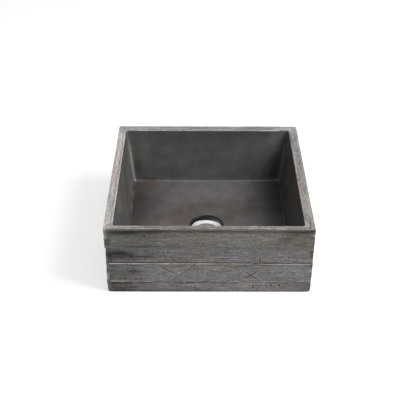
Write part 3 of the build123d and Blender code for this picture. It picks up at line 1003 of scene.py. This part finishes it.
# Growth rings and saw lines run along the boards. Their real lines are 0.3 mm apart, and they
# are drawn about 2 mm apart so that they show.
board_light = layered(tree, spot, (
    ((130, 130, 8), 2, 0.18),
    ((40, 40, 2.8), 1, 0.40),
    ((28, 28, 18), 3, 0.16),
    ((13, 13, 3.4), 1, 0.34),
    ((5, 5, 4.2), 0, 0.30),
))
rim_place = add_node(tree, "CombineXYZ", {0: from_mesh["around"], 1: from_mesh["across"]})
RIM_WIDTH = 17.0
rim_spot = add_node(tree, "VectorMath", {
    0: rim_place, 1: (1.0, RIM_WIDTH * MM, 1.0),
}, operation="MULTIPLY")
rim_light = layered(tree, rim_spot, (
    ((140, 5.0, 100), 2, 0.34),
    ((35, 3.0, 100), 2, 0.30),
    ((7, 5, 100), 1, 0.34),
))
bowl_light = layered(tree, spot, (
    ((130, 130, 60), 2, 0.18),
    ((34, 34, 26), 3, 0.17),
    ((8, 8, 7), 2, 0.10),
))
inside_light = add_node(tree, "Mix", {0: rim_share, 2: bowl_light, 3: rim_light})
light_of_all = add_node(tree, "Mix", {0: board_share, 2: inside_light, 3: board_light})
tone_strength = add_node(tree, "MapRange", {"Value": board_share, "To Min": 0.6, "To Max": 0.8})
tone_and_painted_light = add_node(tree, "Math", {
    0: from_mesh["tone"], 1: tone_strength, 2: 1.0,
}, operation="MULTIPLY_ADD")
all_light = add_node(tree, "Math", {0: tone_and_painted_light, 1: light_of_all}, operation="MULTIPLY")
lit_tint = add_node(tree, "Math", {0: all_light, 1: 0.2}, operation="MAXIMUM")
mottled = add_node(tree, "HueSaturation", {"Color": tint.outputs[2], "Value": lit_tint})

# Rust-brown from the boards' tannin where warmth is above 0, and blue-grey bloom below it
colour = mottled
for strength, code in ((0.55, "#f2dacd"), (-0.5, "#dfe8f2")):
    share = add_node(tree, "Math", {
        0: from_mesh["warmth"], 1: strength,
    }, operation="MULTIPLY", use_clamp=True)
    colour = add_node(tree, "Mix", {
        0: share, 6: colour, 7: linear(code),
    }, data_type="RGBA", blend_type="MULTIPLY").outputs[2]

# Air holes, one in some of the cells, about a millimetre across
hole_cells = add_node(tree, "TexVoronoi", {"Vector": spot, "Scale": 1 / (9 * MM), "Randomness": 1.0})
hole_edge = add_node(tree, "MapRange", {
    "Value": hole_cells.outputs["Distance"], "From Min": 0.06, "From Max": 0.13,
    "To Min": 1.0, "To Max": 0.0,
})
chosen = add_node(tree, "Math", {0: hole_cells.outputs["Color"], 1: 0.8}, operation="GREATER_THAN")
air_holes = add_node(tree, "Math", {0: hole_edge, 1: chosen}, operation="MULTIPLY")
outside_holes = add_node(tree, "Math", {0: air_holes, 1: board_share}, operation="MULTIPLY")
dirt_and_holes = add_node(tree, "Math", {
    0: from_mesh["dirt"], 1: outside_holes,
}, operation="ADD", use_clamp=True)

# Dark dirt with painted shade, and over it the pale of fresh wear with painted highlight, neither of
# them quite opaque
for amount, code in ((dirt_and_holes, "#35322e"), (from_mesh["wear"], "#c4beb7")):
    share = add_node(tree, "Math", {0: amount, 1: 0.75}, operation="MULTIPLY")
    colour = add_node(tree, "Mix", {0: share, 6: colour, 7: linear(code)}, data_type="RGBA").outputs[2]

# The boards' face and the rim are dull. The sealed bowl has a soft gloss, duller where stains and
# painted shade darken it.
gloss = add_node(tree, "MapRange", {
    "Value": finish, "From Min": 0.8, "From Max": 2.0, "To Min": 0.82, "To Max": 0.42,
})
gloss_wear = add_node(tree, "Math", {0: gloss, 1: light_of_all}, operation="MULTIPLY")
sealed = add_node(tree, "Math", {0: tone_and_painted_light, 1: 0.5}, operation="MULTIPLY")
bumps = add_node(tree, "Bump", {"Height": light_of_all, "Distance": 0.8 * MM, "Strength": 0.5})
pitted = add_node(tree, "Bump", {
    "Height": outside_holes, "Distance": 0.6 * MM, "Normal": bumps,
}, invert=True)
fill(tree, shader, {
    "Base Color": colour,
    "Roughness": gloss_wear,
    "Specular IOR Level": sealed,
    "Normal": pitted,
})
casting_mesh.materials.append(concrete)


def repaint(material, *nodes):
    """Gives solids carried over from the frame a finished material."""
    for name in nodes:
        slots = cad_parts[name].data.materials
        slots.clear()
        slots.append(material)


def from_drain_axis(tree):
    """Distance from the drain's axis, for parts that were turned about it."""
    spot = add_node(tree, "TexCoord").outputs["Object"]
    offset = add_node(tree, "VectorMath", {
        0: spot, 1: (DRAIN[0] * MM, DRAIN[1] * MM, 0.0),
    }, operation="SUBTRACT")
    flat = add_node(tree, "VectorMath", {0: offset, 1: (1.0, 1.0, 0.0)}, operation="MULTIPLY")
    away = add_node(tree, "VectorMath", {0: flat}, operation="LENGTH")
    return spot, away.outputs["Value"]


# Chromium plate on turned brass, polished: it mirrors the bowl and the light overhead, with
# faint wiping marks. The tail has a BSP thread of 11 turns to the inch.
chrome, tree, shader = new_material("polished_chrome")
THREAD_PITCH = 25.4 / 11
spot, away = from_drain_axis(tree)
wiped = layered(tree, spot, (((6, 6, 6), 3, 0.10), ((1.2, 1.2, 1.2), 2, 0.06)))
plate = add_node(tree, "HueSaturation", {"Color": linear("#f0f1f1"), "Value": wiped})
sheen = add_node(tree, "Math", {0: wiped, 1: 0.07}, operation="MULTIPLY")
spot_parts = add_node(tree, "SeparateXYZ", {0: spot})
thread_turns = add_node(tree, "Math", {
    0: spot_parts.outputs["Z"], 1: 2 * pi / (THREAD_PITCH * MM),
}, operation="MULTIPLY")
threads = add_node(tree, "Math", {0: thread_turns}, operation="SINE")
below_base = add_node(tree, "Math", {0: spot_parts.outputs["Z"], 1: -2 * MM}, operation="LESS_THAN")
outer_face = add_node(tree, "Math", {0: away, 1: 20.5 * MM}, operation="GREATER_THAN")
for limit in (below_base, outer_face):
    threads = add_node(tree, "Math", {0: threads, 1: limit}, operation="MULTIPLY")
thread_bump = add_node(tree, "Bump", {"Height": threads, "Distance": 0.5 * MM})
fill(tree, shader, {
    "Metallic": 1.0,
    "Base Color": plate,
    "Roughness": sheen,
    "Normal": thread_bump,
})
repaint(chrome, "waste_body")

# Satin chromium plate on the plug's cap, brushed as it spun: a grey sheen with fine rings.
# The rings are 0.1 mm apart on the real cap and are drawn 0.6 mm apart.
satin, tree, shader = new_material("satin_chrome")
spot, away = from_drain_axis(tree)
rings = add_node(tree, "TexNoise", {
    "W": away, "Scale": 1 / (0.6 * MM), "Detail": 2.0,
}, noise_dimensions="1D")
ring_sheen = add_node(tree, "MapRange", {
    "Value": rings, "From Min": 0.3, "From Max": 0.7, "To Min": 0.30, "To Max": 0.44,
})
water_marks = layered(tree, spot, (((11, 11, 11), 3, 0.10),))
cap_tint = add_node(tree, "HueSaturation", {"Color": linear("#d3d3d2"), "Value": water_marks})
ring_bump = add_node(tree, "Bump", {"Height": rings, "Distance": 0.02 * MM})
fill(tree, shader, {
    "Metallic": 1.0,
    "Base Color": cap_tint,
    "Roughness": ring_sheen,
    "Normal": ring_bump,
})
repaint(satin, "plug_cap")


def moulded(name, code, cell, roughness, spread, grain, sockets):
    """A moulded or drawn material: colour, mark size in mm, gloss, marks, grain and other sockets."""
    material, tree, shader = new_material(name)
    spot = add_node(tree, "TexCoord").outputs["Object"]
    fine = cell / 6
    marks = layered(tree, spot, (((cell, cell, cell), 3, spread), ((fine, fine, fine), 2, spread / 2)))
    tinted = add_node(tree, "HueSaturation", {"Color": linear(code), "Value": marks})
    dulled = add_node(tree, "Math", {0: marks, 1: roughness}, operation="MULTIPLY")
    raised = add_node(tree, "Bump", {"Height": marks, "Distance": grain * MM})
    fill(tree, shader, {
        "Base Color": tinted,
        "Roughness": dulled,
        "Normal": raised,
        **sockets,
    })
    return material


# Moulded nitrile rubber: black, dull, with a bloom of dust
rubber = moulded("moulded_rubber", "#1f1f1e", 5.0, 0.62, 0.12, 0.15, {"Specular IOR Level": 0.35})
repaint(rubber, "flange_seal", "lower_seal", "plug_seal")

# Natural polythene washer, stamped from sheet: milky and waxy
polythene = moulded("stamped_polythene", "#c9c7bd", 8.0, 0.45, 0.05, 0.05, {
    "Subsurface Weight": 0.15,
    "Subsurface Radius": (0.002, 0.002, 0.0015),
})
repaint(polythene, "slip_washer")

# White acetal, injection moulded: smooth and a little glossy
acetal = moulded("moulded_acetal", "#dcdcd6", 7.0, 0.34, 0.04, 0.03, {})
repaint(acetal, "cartridge_housing", "cartridge_cap")

# Turned brass, unpolished: yellow metal with tool marks and some tarnish
brass = moulded("turned_brass", "#b99a5b", 6.0, 0.30, 0.14, 0.06, {"Metallic": 1.0})
repaint(brass, "backnut", "plunger")

# Drawn spring steel: bright grey wire with die lines
steel = moulded("drawn_spring_steel", "#a8a9ab", 2.0, 0.28, 0.10, 0.02, {"Metallic": 1.0})
repaint(steel, "spring")

# The camera stands where the photograph was taken from
FOCAL_PIXELS = 841.2
PICTURE_PIXELS = 400
SENSOR = 36.0
CAMERA_PITCH = 0.5939
CAMERA_YAW = 0.00144
CAMERA_ROLL = 0.00293
CAMERA_PLACE = Vector((-19.572, -1470.817, 1076.282))
ahead = Vector((
    sin(CAMERA_YAW) * cos(CAMERA_PITCH),
    cos(CAMERA_YAW) * cos(CAMERA_PITCH),
    -sin(CAMERA_PITCH),
))
level = Vector((cos(CAMERA_YAW), -sin(CAMERA_YAW), 0.0))
upright = level.cross(ahead)
camera_x = level * cos(CAMERA_ROLL) + upright * sin(CAMERA_ROLL)
camera_y = upright * cos(CAMERA_ROLL) - level * sin(CAMERA_ROLL)
camera_data = bpy.data.cameras.new("camera")
camera_data.sensor_width = SENSOR
camera_data.lens = FOCAL_PIXELS * SENSOR / PICTURE_PIXELS
camera_data.clip_end = 100.0
camera = bpy.data.objects.new("camera", camera_data)
camera.matrix_world = Matrix.Translation(CAMERA_PLACE * MM) @ Matrix(
    (camera_x, camera_y, -ahead)
).transposed().to_4x4()
bpy.context.scene.collection.objects.link(camera)
bpy.context.scene.camera = camera

# A softbox to the right and above, and a paler dome of light from overhead
KEY_DIRECTION = Vector((0.68, -0.20, 0.70)).normalized()
KEY_DISTANCE = 1.5
KEY_SIZE = 1.0
KEY_POWER = 36.0
key_data = bpy.data.lights.new("softbox", "AREA")
key_data.shape = "SQUARE"
key_data.size = KEY_SIZE
key_data.energy = KEY_POWER
key = bpy.data.objects.new("softbox", key_data)
key.location = KEY_DIRECTION * KEY_DISTANCE + Vector((0, 0, 0.1))
key.rotation_mode = "QUATERNION"
key.rotation_quaternion = KEY_DIRECTION.to_track_quat("Z", "Y")
bpy.context.scene.collection.objects.link(key)

world = bpy.data.worlds.new("studio")
world.use_nodes = True
bpy.context.scene.world = world
sky = world.node_tree
sky_shader = sky.nodes["Background"]
LOW_LIGHT = 0.12
OVERHEAD_LIGHT = 1.0
direction = add_node(sky, "TexCoord")
parts = add_node(sky, "SeparateXYZ", {0: direction.outputs["Generated"]})
height_share = add_node(sky, "Math", {0: parts.outputs["Z"], 1: 0.0}, operation="MAXIMUM")
squared = add_node(sky, "Math", {0: height_share, 1: 2.0}, operation="POWER")
dome = add_node(sky, "MapRange", {"Value": squared, "To Min": LOW_LIGHT, "To Max": OVERHEAD_LIGHT})
seen = add_node(sky, "LightPath")
strength = add_node(sky, "Mix", {0: seen.outputs["Is Camera Ray"], 2: dome.outputs["Result"], 3: 1.0})
fill(sky, sky_shader, {"Strength": strength, "Color": (1.0, 1.0, 1.0, 1.0)})

# A white sweep of paper, lit from below and above
SWEEP_HALF = 12.0
SWEEP_GLOW = 0.59
SWEEP_ALBEDO = 0.52
sweep_mesh = bpy.data.meshes.new("white_sweep")
corners = [(x * SWEEP_HALF, y * SWEEP_HALF, 0) for x, y in ((-1, -1), (1, -1), (1, 1), (-1, 1))]
sweep_mesh.from_pydata(corners, [], [(0, 1, 2, 3)])
sweep = bpy.data.objects.new("white_sweep", sweep_mesh)
bpy.context.scene.collection.objects.link(sweep)
paper, tree, shader = new_material("white_paper")
fill(tree, shader, {
    "Base Color": (SWEEP_ALBEDO, SWEEP_ALBEDO, SWEEP_ALBEDO, 1.0),
    "Roughness": 1.0,
    "Specular IOR Level": 0.0,
    "Emission Color": (1.0, 1.0, 1.0, 1.0),
    "Emission Strength": SWEEP_GLOW,
})
sweep_mesh.materials.append(paper)

bpy.context.scene.view_settings.view_transform = "Standard"
